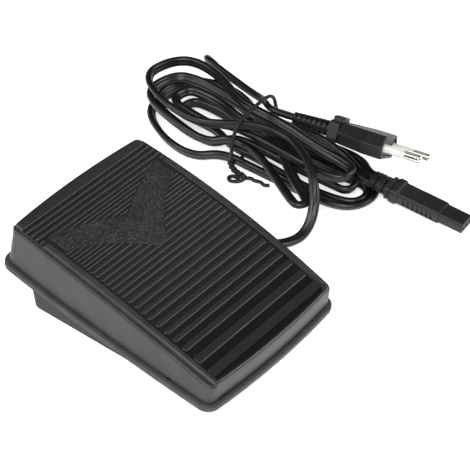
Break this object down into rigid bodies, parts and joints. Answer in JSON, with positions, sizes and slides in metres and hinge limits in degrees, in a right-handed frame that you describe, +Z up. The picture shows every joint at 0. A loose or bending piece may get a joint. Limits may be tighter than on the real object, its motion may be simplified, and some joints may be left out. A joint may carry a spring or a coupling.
{
  "type": "sewing machine pedal",
  "caption": "Black foot speed control with a ribbed, sloping treadle on a wedge base, with its tied hank of flat cord, machine connector and mains plug.",
  "frame": {"origin": "middle of the pedal's own box without its cord, on the floor that the rubber feet stand on", "axes": "+Z up from the floor, +Y along the treadle from its low heel end to its high toe end, +X to the side where the cord leaves the base"},
  "size_m": [0.201, 0.1871, 0.0501],
  "materials": {
    "treadle_plastic": "black moulded plastic, satin on the walls, fine grain on the tread",
    "base_plastic": "black moulded plastic with a fine matt grain",
    "foot_rubber": "matt dark rubber",
    "zinc_steel": "zinc-plated steel",
    "spring_steel": "oiled spring steel wire",
    "gear_plastic": "natural white nylon",
    "component_plastic": "black component plastic",
    "board_laminate": "brown paper laminate",
    "heat_sink_metal": "bare extruded aluminium",
    "capacitor_plastic": "yellow moulded case",
    "winding_copper": "enamelled copper winding",
    "resistor_ceramic": "lacquered ceramic body",
    "fuse_glass": "clear glass tube with metal caps",
    "terminal_plastic": "green terminal plastic",
    "cord_plastic": "flexible black cord sheath with a slight sheen",
    "plug_plastic": "flexible black moulded plastic",
    "tie_plastic": "black plastic over a soft wire",
    "pin_nickel": "nickel-plated brass, polished",
    "contact_brass": "brass sleeve"
  },
  "bodies": {
    "root": {"base_tub": "base_plastic", "rubber_feet": "foot_rubber", "return_springs": "spring_steel", "potentiometer": "component_plastic", "circuit_board": "board_laminate", "board_screws": "zinc_steel", "heat_sink": "heat_sink_metal", "triac": "component_plastic", "suppression_capacitor": "capacitor_plastic", "choke": "winding_copper", "resistors": "resistor_ceramic", "fuse": "fuse_glass", "terminal_block": "terminal_plastic", "cord_clamp": "base_plastic", "clamp_screws": "zinc_steel", "strain_relief": "cord_plastic", "inner_cord": "cord_plastic", "pedal_cord": "cord_plastic", "pedal_cord_hank": "cord_plastic", "pedal_cord_end": "cord_plastic", "mains_lead_end": "cord_plastic", "mains_lead_hank": "cord_plastic", "mains_lead": "cord_plastic", "cord_tie": "tie_plastic", "plug_relief": "plug_plastic", "plug_body": "plug_plastic", "plug_pins": "pin_nickel", "connector_relief": "plug_plastic", "connector_body": "plug_plastic", "connector_contacts": "contact_brass"},
    "treadle": {"treadle_cover": "treadle_plastic", "treadle_frame": "treadle_plastic", "cover_screws": "zinc_steel", "hinge_pin": "zinc_steel", "speed_sector": "gear_plastic"},
    "pinion": {"pot_pinion": "gear_plastic"}
  },
  "joints": [
    {"name": "treadle_hinge", "type": "hinge", "parent": "root", "child": "treadle", "pos_m": [0, -0.037, 0.0128], "axis": [-1, 0, 0], "range_deg": [0, 6], "stiffness_Nm_per_rad": 8, "springref_deg": -3.44, "deforming": ["return_springs"]},
    {"name": "pinion_spin", "type": "hinge", "parent": "root", "child": "pinion", "pos_m": [0, 0.01647, 0.02032], "axis": [-1, 0, 0], "range_deg": [-49, 1]}
  ],
  "couplings": [
    {"joint": "pinion_spin", "follows": "treadle_hinge", "ratio": -8}
  ]
}
